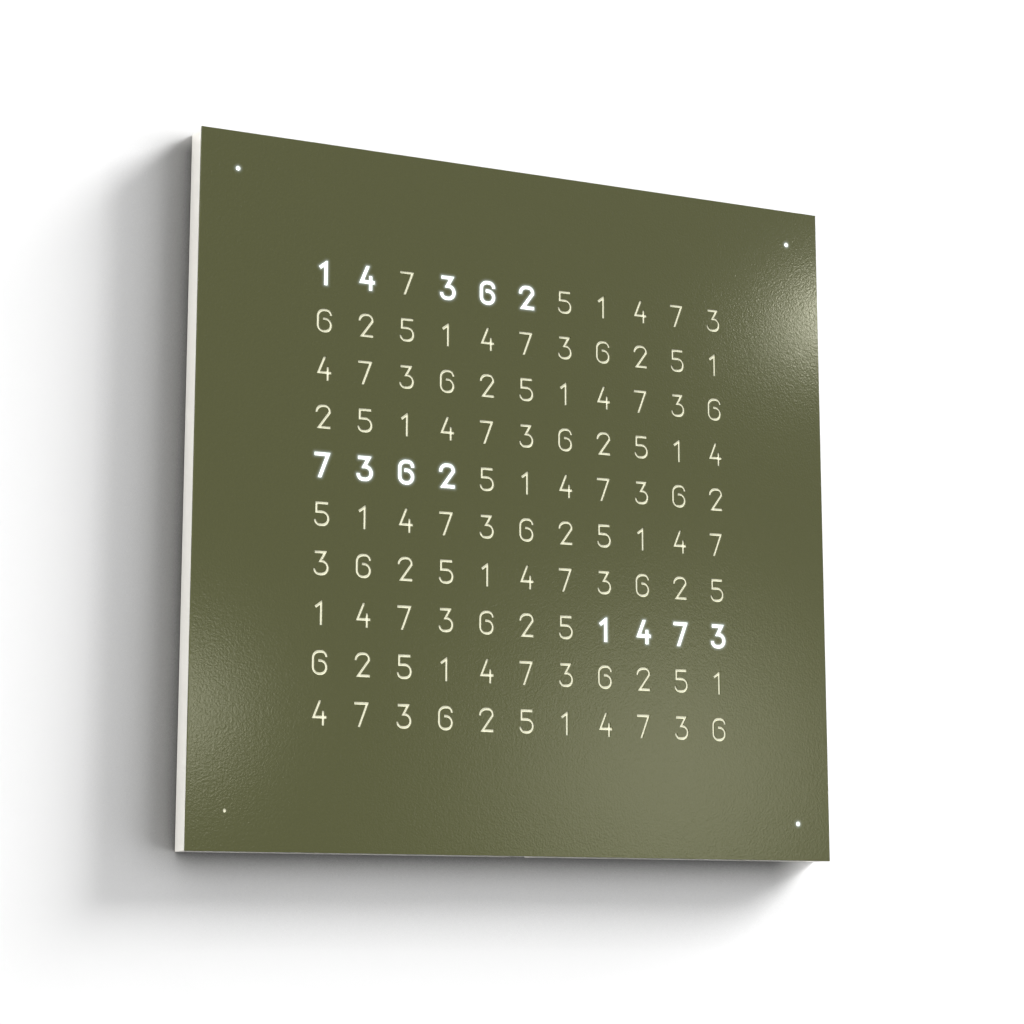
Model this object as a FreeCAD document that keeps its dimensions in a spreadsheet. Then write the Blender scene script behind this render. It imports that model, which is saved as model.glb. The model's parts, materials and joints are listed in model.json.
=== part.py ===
import FreeCAD, Part
import math
import os
import re
import Sketcher

# A square wall clock that tells the time with lit characters in a grid of plain digits
# X runs to the right, Z up and Y into the wall, and the origin is the middle of the rear face
# A station is a distance from the wall towards the front, so a station of 8 lies at Y = -8

SIZES = {
    # outer form
    "panel_side": 450,
    "total_depth": 20,
    "cover_thickness": 1.5,
    "rear_thickness": 2,
    "rear_rim": 4.5,
    "fit_gap": 0.5,
    "seat_gap": 0.1,
    # light stack behind the front cover
    "stack_margin": 57,
    "ledge_width": 18,
    "diffuser_thickness": 0.5,
    "light_depth": 8,
    "board_thickness": 1.6,
    "tape_thickness": 0.4,
    "tape_width": 12,
    "tape_end": 10,
    "column_count": 11,
    "row_count": 10,
    "grid_margin_across": 69.625,
    "grid_margin_up": 69.85,
    "chamber_rib_across": 4.25,
    "chamber_rib_up": 4.03,
    "led_width": 3.5,
    "led_height": 2.8,
    "led_thickness": 1.4,
    "driver_width": 10,
    "driver_height": 8,
    "driver_thickness": 1.75,
    "driver_spacing_across": 90,
    "driver_spacing_up": 120,
    # digits cut through the front cover
    "digit_width": 10.5,
    "digit_height": 15.5,
    "digit_stroke": 1.7,
    "digit_corner": 2.6,
    "digit_waist": 1.3,
    "digit_bridge": 1.6,
    # minute lights in the corners
    "corner_inset": 24.4,
    "corner_hole": 2.4,
    "corner_guide_side": 6,
    "corner_guide_length": 4,
    "corner_pocket": 22,
    "corner_led_side": 3.5,
    "corner_led_thickness": 1.9,
    "lead_width": 3,
    "lead_thickness": 0.8,
    "lead_overlap": 5,
    "groove_width": 5,
    # magnets and studs that hold the front cover
    "magnet_length": 20,
    "magnet_width": 10,
    "magnet_thickness": 3,
    "magnet_along": 100,
    "magnet_inset": 25,
    "stud_across": 150,
    "stud_inset": 25,
    "stud_diameter": 4,
    "stud_length": 5,
    "stud_clearance": 0.3,
    # rear cover tongues and screws
    "tongue_across": 140,
    "tongue_width": 20,
    "tongue_reach": 3,
    "tongue_thickness": 1,
    "rear_screw_across": 150,
    "rear_screw_inset": 45,
    "rear_screw_head": 5.6,
    "rear_screw_head_depth": 1.6,
    "rear_screw_shank": 2.9,
    "rear_screw_length": 11,
    # keyhole hangers
    "keyhole_across": 120,
    "keyhole_entry_inset": 45,
    "keyhole_entry": 10,
    "keyhole_slot": 5,
    "keyhole_travel": 10,
    "keyhole_plate_width": 44,
    "keyhole_plate_height": 30,
    "keyhole_plate_thickness": 2,
    "keyhole_window_width": 20,
    "keyhole_window_height": 26,
    "head_room_width": 14,
    "head_room_height": 26,
    "head_room_depth": 7,
    # electronics bay under the light stack
    "bottom_wall": 13,
    "bay_width": 150,
    "bay_height": 40,
    "bay_station": 14.5,
    "channel_width": 30,
    "channel_overlap": 10,
    "control_width": 140,
    "control_height": 36,
    "header_width": 24,
    "header_height": 5,
    "control_header_depth": 5,
    "board_header_depth": 4,
    "control_header_rise": 34,
    "board_header_inset": 10,
    "ribbon_width": 20,
    "ribbon_thickness": 0.8,
    "controller_side": 12,
    "controller_thickness": 1.4,
    "controller_across": -24,
    "controller_rise": 22,
    "crystal_width": 11,
    "crystal_height": 4.5,
    "crystal_depth": 3.5,
    "crystal_rise": 33,
    "regulator_across": 24,
    "regulator_rise": 25,
    "regulator_width": 6.5,
    "regulator_height": 10,
    "regulator_depth": 2.3,
    "cell_diameter": 20,
    "cell_thickness": 3.2,
    "cell_across": -54,
    "cell_rise": 18,
    "holder_side": 24,
    "holder_depth": 4.6,
    "holder_clearance": 0.4,
    # power inlet
    "notch_width": 15,
    "notch_depth": 13,
    "inlet_rise": 9,
    "jack_width": 9,
    "jack_length": 14,
    "jack_depth": 10.4,
    "jack_bore": 6.4,
    "jack_bore_length": 10,
    "jack_pin": 2.1,
    "jack_pin_length": 9,
    # buttons and light sensor in the lower edge
    "button_count": 4,
    "button_first": 20,
    "button_pitch": 13,
    "button_width": 6,
    "button_depth": 3.2,
    "button_clearance": 0.2,
    "button_sunk": 0.2,
    "button_travel": 0.5,
    "flange_width": 8,
    "flange_depth": 5.2,
    "flange_height": 0.8,
    "key_rise": 2,
    "plunger_width": 2.4,
    "plunger_depth": 1.4,
    "plunger_out": 1,
    "plunger_in": 0.8,
    "plunger_clearance": 0.15,
    "switch_width": 6,
    "switch_depth": 3.6,
    "switch_height": 4,
    "sensor_across": -24,
    "sensor_width": 4,
    "sensor_height": 3,
    "guide_side": 3,
}

# Sizes and places that follow from the sizes, in the sheet after them
FOLLOWING = {
    "stack_pocket": "panel_side - 2 * stack_margin",
    "rear_opening": "stack_pocket - 2 * ledge_width",
    "tape_length": "rear_opening - 2 * tape_end",
    "column_pitch": "(panel_side - 2 * grid_margin_across) / column_count",
    "row_pitch": "(panel_side - 2 * grid_margin_up) / row_count",
    "chamber_width": "column_pitch - chamber_rib_across",
    "chamber_height": "row_pitch - chamber_rib_up",
    "corner_place": "panel_side / 2 - corner_inset",
    "magnet_out": "panel_side / 2 - magnet_inset",
    "stud_up": "panel_side / 2 - stud_inset",
    "rear_screw_up": "rear_screw_inset - panel_side / 2",
    "keyhole_entry_up": "panel_side / 2 - keyhole_entry_inset",
    "bay_floor_up": "bottom_wall - panel_side / 2",
    "control_header_up": "bay_floor_up + control_header_rise",
    "board_header_up": "board_header_inset - rear_opening / 2",
    "controller_up": "bay_floor_up + controller_rise",
    "crystal_up": "bay_floor_up + crystal_rise",
    "regulator_up": "bay_floor_up + regulator_rise",
    "cell_up": "bay_floor_up + cell_rise",
    "inlet_up": "bay_floor_up + inlet_rise",
    "key_up": "bay_floor_up + key_rise",
}

# Stations that follow from the sizes
FRONT = "total_depth - cover_thickness"
LIGHT_FRONT = FRONT + " - diffuser_thickness"
LIGHT_REAR = LIGHT_FRONT + " - light_depth"
BOARD_REAR = LIGHT_REAR + " - board_thickness"
LEDGE = BOARD_REAR + " - tape_thickness"
TAPE_REAR = "bay_station - tape_thickness"
CONTROL_REAR = TAPE_REAR + " - board_thickness"
KEY_STATION = CONTROL_REAR + " - switch_depth / 2"
PLATE_REAR = "rear_thickness"
HEAD_ROOM_REAR = "rear_thickness + keyhole_plate_thickness"

# Places up and down that follow from the sizes
BOTTOM_EDGE = "-panel_side / 2"
BAY_FLOOR_UP = "bay_floor_up"
BAY_UP = "bay_floor_up + bay_height / 2"
SEATED_SIDE = "stack_pocket - 2 * fit_gap"
REAR_SIDE = "panel_side - 2 * rear_rim - 2 * fit_gap"
TONGUE_UP = "panel_side / 2 - rear_rim - fit_gap"
TONGUE_REAR = "rear_thickness - tongue_thickness"

CORNERS = {1: (-1, 1), 2: (1, 1), 3: (1, -1), 4: (-1, -1)}
DIAGONAL = 2 ** 0.5
SPARE = 1.0
HOLE_SIDES = 8

document = FreeCAD.newDocument("word_clock")
sheet = document.addObject("Spreadsheet::Sheet", "Sizes")
sub_parts = []


def fill_sheet():
    """Writes each size into the sheet beside its name, and then those that follow from them."""
    following = {name: f"={formula}" for name, formula in FOLLOWING.items()}
    for row, (name, value) in enumerate({**SIZES, **following}.items(), start=1):
        sheet.set(f"A{row}", name)
        sheet.set(f"B{row}", str(value))
        sheet.setAlias(f"B{row}", name)
    document.recompute()


def size(name):
    """The value that the sheet holds under a name."""
    return float(getattr(sheet, name))


def bound(formula):
    """A formula with the sheet named before each of its sizes."""
    return re.sub(r"[a-z]\w*", lambda word: "Sizes." + word.group(0), str(formula))


def vector(x, y, z):
    return FreeCAD.Vector(x, y, z)


# Helpers for features


def new_body(name, several=False):
    """A sub-part made of features, and of several solids where it is a set of like pieces."""
    body = document.addObject("PartDesign::Body", name)
    body.Label = name
    body.AllowCompound = several
    return body


def sub_part(piece):
    """Puts a finished piece on the list of what is written out."""
    sub_parts.append(piece)
    return piece


def origin_feature(body, role):
    return next(feature for feature in body.Origin.OriginFeatures if feature.Role == role)


def sketch_on(body, plane, right="0", up="0", out="0"):
    """A sketch on one of the body's planes, its origin shifted in the plane and out of it."""
    sketch = body.newObject("Sketcher::SketchObject", body.Name + "_sketch")
    sketch.AttachmentSupport = [(origin_feature(body, plane), "")]
    sketch.MapMode = "FlatFace"
    for letter, formula in zip("xyz", (right, up, out)):
        sketch.setExpression(f".AttachmentOffset.Base.{letter}", bound(formula))
    return sketch


def front_sketch(body, across="0", up="0", station="0"):
    """A sketch seen from the front, with X to its right and Z up, at a station from the wall."""
    return sketch_on(body, "XZ_Plane", across, up, station)


def named(sketch, constraint, name, formula):
    """Adds a dimension to a sketch and binds it to the sheet."""
    number = sketch.addConstraint(constraint)
    sketch.renameConstraint(number, name)
    sketch.setExpression(f"Constraints.{name}", bound(formula))


def rectangle(sketch, width, height):
    """A rectangle about the sketch's origin."""
    reach = 5.0
    corners = [(-reach, -reach), (reach, -reach), (reach, reach), (-reach, reach)]
    for start, end in zip(corners, corners[1:] + corners[:1]):
        sketch.addGeometry(Part.LineSegment(vector(*start, 0), vector(*end, 0)))
    for side, direction in enumerate(("Horizontal", "Vertical", "Horizontal", "Vertical")):
        sketch.addConstraint(Sketcher.Constraint("Coincident", side, 2, (side + 1) % 4, 1))
        sketch.addConstraint(Sketcher.Constraint(direction, side))
    sketch.addConstraint(Sketcher.Constraint("Symmetric", 0, 1, 2, 1, -1, 1))
    named(sketch, Sketcher.Constraint("DistanceX", 0, 1, 0, 2, 2 * reach), "width", width)
    named(sketch, Sketcher.Constraint("DistanceY", 1, 1, 1, 2, 2 * reach), "height", height)
    return sketch


def circle(sketch, diameter):
    """A circle about the sketch's origin."""
    sketch.addGeometry(Part.Circle(vector(0, 0, 0), vector(0, 0, 1), 2.0))
    sketch.addConstraint(Sketcher.Constraint("Coincident", 0, 3, -1, 1))
    named(sketch, Sketcher.Constraint("Diameter", 0, 4.0), "diameter", diameter)
    return sketch


def outline(sketch, points):
    """A closed outline through points given as pairs of formulas, held by their places."""
    count = len(points)
    guesses = [(5.0 + index, 3.0 + index * index) for index in range(count)]
    for start, end in zip(guesses, guesses[1:] + guesses[:1]):
        sketch.addGeometry(Part.LineSegment(vector(*start, 0), vector(*end, 0)))
    for side in range(count):
        sketch.addConstraint(Sketcher.Constraint("Coincident", side, 2, (side + 1) % count, 1))
    for side, (right, up) in enumerate(points):
        place_x = Sketcher.Constraint("DistanceX", -1, 1, side, 1, guesses[side][0])
        place_y = Sketcher.Constraint("DistanceY", -1, 1, side, 1, guesses[side][1])
        named(sketch, place_x, f"right_{side}", right)
        named(sketch, place_y, f"up_{side}", up)
    return sketch


def pad(body, sketch, length):
    feature = body.newObject("PartDesign::Pad", body.Name + "_pad")
    feature.Profile = sketch
    feature.setExpression("Length", bound(length))
    document.recompute()
    return feature


def pocket(body, sketch, depth, along_normal=True):
    """Cuts a sketch into the body, along the sketch's normal or against it."""
    before = body.Shape.Volume
    feature = body.newObject("PartDesign::Pocket", body.Name + "_pocket")
    feature.Profile = sketch
    feature.setExpression("Length", bound(depth))
    feature.Reversed = along_normal
    document.recompute()
    if not body.Shape.Volume < before:
        raise ValueError(f"A pocket of {body.Label} cuts nothing")
    return feature


def turned(body, sketch, axis, cut=False):
    """Revolves a sketch a full turn about one of its own axes, to add or to cut."""
    kind = "PartDesign::Groove" if cut else "PartDesign::Revolution"
    feature = body.newObject(kind, body.Name + "_turn")
    feature.Profile = sketch
    feature.ReferenceAxis = (sketch, [axis])
    feature.Angle = 360
    document.recompute()
    return feature


def spread(body, feature, columns, width, rows="1", height="0"):
    """Repeats a feature in columns across a width, and in rows up a height."""
    pattern = body.newObject("PartDesign::LinearPattern", body.Name + "_pattern")
    pattern.Originals = [feature]
    pattern.Direction = (origin_feature(body, "X_Axis"), [""])
    pattern.Direction2 = (origin_feature(body, "Z_Axis"), [""])
    pattern.setExpression("Length", bound(width))
    pattern.setExpression("Occurrences", bound(columns))
    if height != "0":
        pattern.setExpression("Length2", bound(height))
        pattern.setExpression("Occurrences2", bound(rows))
    body.Tip = pattern
    document.recompute()
    return pattern


def four_times(body, feature):
    """Repeats a feature at each quarter turn about the middle of the clock."""
    pattern = body.newObject("PartDesign::PolarPattern", body.Name + "_pattern")
    pattern.Originals = [feature]
    pattern.Axis = (origin_feature(body, "Y_Axis"), [""])
    pattern.Angle = 360
    pattern.Occurrences = 4
    body.Tip = pattern
    document.recompute()
    return pattern


def block(body, width, height, depth, across="0", up="0", station="0"):
    """A rectangular pad that stands from its station towards the front."""
    return pad(body, rectangle(front_sketch(body, across, up, station), width, height), depth)


def disc(body, diameter, depth, across="0", up="0", station="0"):
    """A round pad that stands from its station towards the front."""
    return pad(body, circle(front_sketch(body, across, up, station), diameter), depth)


def square_cut(body, width, height, depth, across="0", up="0", station="0", forward=True):
    """A rectangular pocket that runs forward from its station, or back towards the wall."""
    sketch = rectangle(front_sketch(body, across, up, station), width, height)
    return pocket(body, sketch, depth, forward)


def round_cut(body, diameter, depth, across="0", up="0", station="0", forward=True):
    """A round pocket that runs forward from its station, or back towards the wall."""
    sketch = circle(front_sketch(body, across, up, station), diameter)
    return pocket(body, sketch, depth, forward)


def box(name, width, height, depth, across="0", up="0", station="0"):
    """A plain block centred across and up, standing from its station towards the front."""
    piece = document.addObject("Part::Box", name)
    piece.Label = name
    piece.setExpression("Length", bound(width))
    piece.setExpression("Width", bound(depth))
    piece.setExpression("Height", bound(height))
    piece.setExpression(".Placement.Base.x", bound(f"{across} - ({width}) / 2"))
    piece.setExpression(".Placement.Base.y", bound(f"-({station}) - ({depth})"))
    piece.setExpression(".Placement.Base.z", bound(f"{up} - ({height}) / 2"))
    document.recompute()
    return sub_part(piece)


# The housing


def make_body_panel():
    """The lacquered board that everything sits in, pocketed from both sides."""
    body = new_body("body_panel")
    block(body, "panel_side", "panel_side", FRONT)
    square_cut(
        body, "stack_pocket", "stack_pocket", f"{FRONT} - ({LEDGE})", station=FRONT, forward=False
    )
    rebate = f"{REAR_SIDE} + 2 * fit_gap"
    square_cut(body, rebate, rebate, "rear_thickness")
    square_cut(body, "rear_opening", "rear_opening", LEDGE)
    cut_electronics_bay(body)
    cut_corner_lights(body)
    cut_cover_seats(body)
    cut_keyhole_rooms(body)
    cut_screw_holes(body)
    cut_lower_edge(body)
    return sub_part(body)


def cut_electronics_bay(body):
    """The bay for the control board and the channel that its ribbon takes upwards."""
    square_cut(body, "bay_width", "bay_height", "bay_station", up=BAY_UP)
    channel_low = f"({BAY_UP})"
    channel_high = "-rear_opening / 2 + channel_overlap"
    square_cut(
        body,
        "channel_width",
        f"{channel_high} - {channel_low}",
        LEDGE,
        up=f"({channel_high} + {channel_low}) / 2",
    )


def cut_corner_lights(body):
    """A pocket, a mortise to the front and a groove for the lead in each corner."""
    corner = {"across": "corner_place", "up": "corner_place"}
    seat = square_cut(body, "corner_pocket", "corner_pocket", LIGHT_REAR, **corner)
    four_times(body, seat)
    side = "corner_guide_side"
    mortise = square_cut(
        body, side, side, f"{FRONT} - ({LIGHT_REAR})", station=FRONT, forward=False, **corner
    )
    four_times(body, mortise)
    inner = "(rear_opening - groove_width) / 2"
    middle = f"(corner_place + {inner}) / 2"
    sketch = front_sketch(body, middle, middle)
    sketch.AttachmentOffset = FreeCAD.Placement(
        sketch.AttachmentOffset.Base, FreeCAD.Rotation(vector(0, 0, 1), 45)
    )
    rectangle(sketch, f"(corner_place - {inner}) * {DIAGONAL}", "groove_width")
    four_times(body, pocket(body, sketch, BOARD_REAR))


def cut_cover_seats(body):
    """Seats in the front face for the magnets and for the studs of the cover."""
    deep = "magnet_thickness"
    long_side = "magnet_length + 2 * seat_gap"
    short_side = "magnet_width + 2 * seat_gap"
    for across, up in (("magnet_along", "magnet_out"), ("magnet_out", "magnet_along")):
        seat = square_cut(
            body, long_side, short_side, deep, f"-{across}", f"-{up}", FRONT, forward=False
        )
        spread(body, seat, "2", f"2 * {across}", "2", f"2 * {up}")
    bore = round_cut(
        body, "stud_diameter + 2 * stud_clearance", "stud_length + 2 * stud_clearance",
        "-stud_across", "stud_up", FRONT, forward=False,
    )
    spread(body, bore, "2", "2 * stud_across")


def cut_keyhole_rooms(body):
    """A seat for each hanger plate and room for the head of the wall screw behind it."""
    middle = "keyhole_entry_up + keyhole_travel / 2"
    seat = square_cut(
        body,
        "keyhole_plate_width + 2 * seat_gap",
        "keyhole_plate_height + 2 * seat_gap",
        HEAD_ROOM_REAR,
        "-keyhole_across",
        middle,
    )
    spread(body, seat, "2", "2 * keyhole_across")
    room = square_cut(
        body,
        "head_room_width",
        "head_room_height",
        f"{HEAD_ROOM_REAR} + head_room_depth",
        "-keyhole_across",
        middle,
    )
    spread(body, room, "2", "2 * keyhole_across")


def cut_screw_holes(body):
    """Holes for the screws of the rear cover, and slots for its tongues in the upper rim."""
    hole = round_cut(
        body,
        "rear_screw_shank + 2 * seat_gap",
        "rear_screw_length + seat_gap",
        "-rear_screw_across",
        "rear_screw_up",
    )
    spread(body, hole, "2", "2 * rear_screw_across")
    sketch = front_sketch(body, "-tongue_across", TONGUE_UP, TONGUE_REAR + " - seat_gap")
    rectangle(
        sketch, "tongue_width + 2 * fit_gap", "2 * (tongue_reach + 2 * fit_gap)"
    )
    slot = pocket(body, sketch, "tongue_thickness + 2 * seat_gap")
    spread(body, slot, "2", "2 * tongue_across")


def cut_lower_edge(body):
    """The notch for the plug, the slots of the buttons and that of the light guide."""
    square_cut(body, "notch_width", "2 * bottom_wall", "notch_depth", up=BOTTOM_EDGE)
    sketch = sketch_on(body, "XY_Plane", "button_first", f"-({KEY_STATION})", BOTTOM_EDGE)
    rectangle(
        sketch, "button_width + 2 * button_clearance", "button_depth + 2 * button_clearance"
    )
    slot = pocket(body, sketch, "bottom_wall")
    spread(body, slot, "button_count", "(button_count - 1) * button_pitch")
    sketch = sketch_on(body, "XY_Plane", "sensor_across", f"-({KEY_STATION})", BOTTOM_EDGE)
    side = "guide_side + 2 * seat_gap"
    pocket(body, rectangle(sketch, side, side), "bottom_wall")


# The light stack


def make_light_stack():
    """What lies behind the digits: tapes, light board, lights, light panel and diffuser."""
    tapes = new_body("ledge_tapes", several=True)
    ledge_middle = "(stack_pocket + rear_opening) / 4"
    strip = block(tapes, "tape_length", "tape_width", "tape_thickness", "0", ledge_middle, LEDGE)
    four_times(tapes, strip)
    sub_part(tapes)
    box("led_board", SEATED_SIDE, SEATED_SIDE, "board_thickness", station=BOARD_REAR)
    grid = {"across": first_column(), "up": first_row(), "station": LIGHT_REAR}
    lights = new_body("matrix_leds", several=True)
    over_grid(lights, block(lights, "led_width", "led_height", "led_thickness", **grid))
    sub_part(lights)
    make_driver_chips()
    panel = new_body("light_panel")
    block(panel, SEATED_SIDE, SEATED_SIDE, "light_depth", station=LIGHT_REAR)
    over_grid(panel, square_cut(panel, "chamber_width", "chamber_height", "light_depth", **grid))
    sub_part(panel)
    box("diffuser_sheet", SEATED_SIDE, SEATED_SIDE, "diffuser_thickness", station=LIGHT_FRONT)


def first_column():
    return "-(column_count - 1) / 2 * column_pitch"


def first_row():
    return "-(row_count - 1) / 2 * row_pitch"


def over_grid(body, feature):
    """Repeats a feature at each place of the grid of characters."""
    width = "(column_count - 1) * column_pitch"
    height = "(row_count - 1) * row_pitch"
    return spread(body, feature, "column_count", width, "row_count", height)


def make_driver_chips():
    """The chips on the rear of the light board that switch its lights."""
    chips = new_body("led_driver_chips", several=True)
    chip = block(
        chips,
        "driver_width",
        "driver_height",
        "driver_thickness",
        "-driver_spacing_across",
        "-driver_spacing_up / 2",
        f"{BOARD_REAR} - driver_thickness",
    )
    spread(chips, chip, "3", "2 * driver_spacing_across", "2", "driver_spacing_up")
    sub_part(chips)


# The minute lights


def make_corner_lights():
    """A small board, its light, the clear guide in front and the flat lead, in each corner."""
    for number, (side, height) in CORNERS.items():
        corner = {"across": f"{side} * corner_place", "up": f"{height} * corner_place"}
        board_side = "corner_pocket - 2 * fit_gap"
        box(
            f"minute_led_board_{number}",
            board_side,
            board_side,
            "board_thickness",
            station=BOARD_REAR,
            **corner,
        )
        box(
            f"minute_led_{number}",
            "corner_led_side",
            "corner_led_side",
            "corner_led_thickness",
            station=LIGHT_REAR,
            **corner,
        )
        guide_side = "corner_guide_side - 2 * seat_gap"
        box(
            f"minute_light_guide_{number}",
            guide_side,
            guide_side,
            "corner_guide_length",
            station=f"{FRONT} - corner_guide_length",
            **corner,
        )
        make_lead(number)


def make_lead(number):
    """A flat lead from a corner's board to the light board, along the groove between them."""
    lead = new_body(f"minute_lead_{number}")
    inner = f"({SEATED_SIDE}) / 2 - lead_overlap"
    outer = "corner_place - corner_pocket / 2 + fit_gap + lead_overlap"
    block(
        lead,
        f"({outer} - ({inner})) * {DIAGONAL}",
        "lead_width",
        "lead_thickness",
        f"({outer} + {inner}) / 2 * {DIAGONAL}",
        "0",
        f"{BOARD_REAR} - lead_thickness",
    )
    turn = 45 + 90 * number
    lead.Placement = FreeCAD.Placement(vector(0, 0, 0), FreeCAD.Rotation(vector(0, 1, 0), turn))
    sub_part(lead)


# What holds the front cover


def make_cover_magnets():
    """Block magnets flush with the front face of the body, which hold the steel cover."""
    magnets = new_body("cover_magnets", several=True)
    for across, up in (("magnet_along", "magnet_out"), ("magnet_out", "magnet_along")):
        magnet = block(
            magnets,
            "magnet_length",
            "magnet_width",
            "magnet_thickness",
            f"-{across}",
            f"-{up}",
            f"{FRONT} - magnet_thickness",
        )
        spread(magnets, magnet, "2", f"2 * {across}", "2", f"2 * {up}")
    sub_part(magnets)


def make_cover_studs():
    """Two studs on the back of the cover that slide into the body and set its place."""
    studs = new_body("cover_studs", several=True)
    stud = disc(
        studs, "stud_diameter", "stud_length", "-stud_across", "stud_up", f"{FRONT} - stud_length"
    )
    spread(studs, stud, "2", "2 * stud_across")
    sub_part(studs)


# The front cover and its digits


def lower_bowl(reach, half_height, corner, waist):
    """The round lower half that the digits 3, 5 and 6 share, from the waist round to the left."""
    return [
        (reach - corner, waist),
        (reach, waist - corner),
        (reach, corner - half_height),
        (reach - corner, -half_height),
        (corner - reach, -half_height),
        (-reach, corner - half_height),
    ]


def digit_strokes(digit):
    """The middle lines of a digit from 1 to 7, about the middle of its cell."""
    stroke = size("digit_stroke")
    reach = (size("digit_width") - stroke) / 2
    half_height = (size("digit_height") - stroke) / 2
    corner = size("digit_corner")
    waist = size("digit_waist")
    bridge = size("digit_bridge") + stroke
    beyond = half_height + stroke
    bowl = lower_bowl(reach, half_height, corner, waist)
    flag = reach * 0.8
    stem = reach * 0.1
    strokes = {
        1: [[(-flag, half_height - flag), (stem, half_height - stem), (stem, -beyond)]],
        2: [[
            (-reach, half_height - corner - stroke),
            (-reach, half_height - corner),
            (corner - reach, half_height),
            (reach - corner, half_height),
            (reach, half_height - corner),
            (reach, waist + stroke),
            (stroke - reach, -half_height),
            (reach + stroke, -half_height),
        ]],
        3: [[(-reach, half_height), (reach - stroke, half_height), (-stem, waist)] + bowl],
        4: [
            [(reach - stroke * 2, beyond), (stroke / 2 - reach, -waist * 2),
             (reach + stroke, -waist * 2)],
            [(reach - stroke, waist), (reach - stroke, -beyond)],
        ],
        5: [[(reach, half_height), (stroke / 2 - reach, half_height), (stroke / 2 - reach, waist)]
            + bowl],
        6: [[(bridge - reach, waist)] + bowl + [
            (-reach, half_height - corner),
            (corner - reach, half_height),
            (reach - corner, half_height),
            (reach, half_height - corner),
        ]],
        7: [[(-reach - stroke, half_height), (reach - stroke / 2, half_height),
             (-reach / 2, -beyond)]],
    }
    return strokes[digit]


def side_shift(first, second):
    """The unit vector to the left of a run from its first point to its second."""
    run = second - first
    return vector(-run.y, run.x, 0) / run.Length


def stroke_outline(points, width):
    """Both sides of a line of a given width, mitred at its corners and square at its ends."""
    line = [vector(*point, 0) for point in points]
    sides = [side_shift(first, second) for first, second in zip(line, line[1:])]
    left = []
    right = []
    for point, before, after in zip(line, sides[:1] + sides, sides + sides[-1:]):
        mitre = (before + after) * (width / 2 / (1 + before.dot(after)))
        left.append(point + mitre)
        right.append(point - mitre)
    return left + right[::-1]


def standing(points, station, depth):
    """A prism on an outline seen from the front, from its station towards the front."""
    corners = [vector(point.x, -station, point.y) for point in points]
    face = Part.Face(Part.makePolygon(corners + corners[:1]))
    return face.extrude(vector(0, -depth, 0))


def digit_cutter(digit):
    """The solid that cuts one digit through the cover, trimmed to the digit's own height."""
    width = size("digit_width")
    height = size("digit_height")
    station = size("total_depth") - size("cover_thickness") - SPARE
    depth = size("cover_thickness") + 2 * SPARE
    prisms = [
        standing(stroke_outline(points, size("digit_stroke")), station, depth)
        for points in digit_strokes(digit)
    ]
    solid = prisms[0].multiFuse(prisms[1:]).removeSplitter() if prisms[1:] else prisms[0]
    frame = Part.makeBox(width, depth, height, vector(-width / 2, -station - depth, -height / 2))
    return solid.common(frame).Solids[0]


def grid_digit(column, row):
    """The digit in a cell: each column steps on by 3 and each row by 5, within 1 to 7."""
    return (3 * column + 5 * row) % 7 + 1


def make_digit_cutters():
    """One cutter in each cell of the grid, counted from the upper left as the rows are read."""
    columns = round(size("column_count"))
    rows = round(size("row_count"))
    moulds = {digit: digit_cutter(digit) for digit in range(1, 8)}
    placed = []
    for row in range(rows):
        for column in range(columns):
            across = (column - (columns - 1) / 2) * size("column_pitch")
            up = ((rows - 1) / 2 - row) * size("row_pitch")
            cutter = moulds[grid_digit(column, row)]
            placed.append(cutter.translated(vector(across, 0, up)))
    cutters = document.addObject("Part::Feature", "digit_cutters")
    cutters.Shape = Part.makeCompound(placed)
    return cutters


def small_hole(sketch, diameter):
    """A hole so small that eight sides stand for its round."""
    turns = [2 * math.pi * (side + 0.5) / HOLE_SIDES for side in range(HOLE_SIDES)]
    ring = [(f"{diameter} / 2 * {math.cos(turn)}", f"{diameter} / 2 * {math.sin(turn)}")
            for turn in turns]
    return outline(sketch, ring)


def make_front_cover():
    """The powder-coated steel sheet with its minute holes and its grid of digits."""
    blank = new_body("cover_blank")
    block(blank, "panel_side", "panel_side", "cover_thickness", station=FRONT)
    sketch = front_sketch(blank, "-corner_place", "-corner_place", FRONT)
    hole = pocket(blank, small_hole(sketch, "corner_hole"), "cover_thickness")
    spread(blank, hole, "2", "2 * corner_place", "2", "2 * corner_place")
    cover = document.addObject("Part::Cut", "front_cover")
    cover.Label = "front_cover"
    cover.Base = blank
    cover.Tool = make_digit_cutters()
    document.recompute()
    return sub_part(cover)


# The rear


def countersunk_outline(gap="0"):
    """Half of a countersunk screw, from its head at the origin along the sketch's left."""
    head = f"rear_screw_head / 2 + {gap}"
    shank = f"rear_screw_shank / 2 + {gap}"
    tip = f"-rear_screw_length - {gap}"
    cone = "-rear_screw_head_depth"
    return [("0", "0"), ("0", head), (cone, shank), (tip, shank), (tip, "0")]


def countersunk_sketch(body, gap="0"):
    """The half screw in a plane through the axis of the left screw."""
    sketch = sketch_on(body, "YZ_Plane", "0", "rear_screw_up", "-rear_screw_across")
    return outline(sketch, countersunk_outline(gap))


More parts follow.
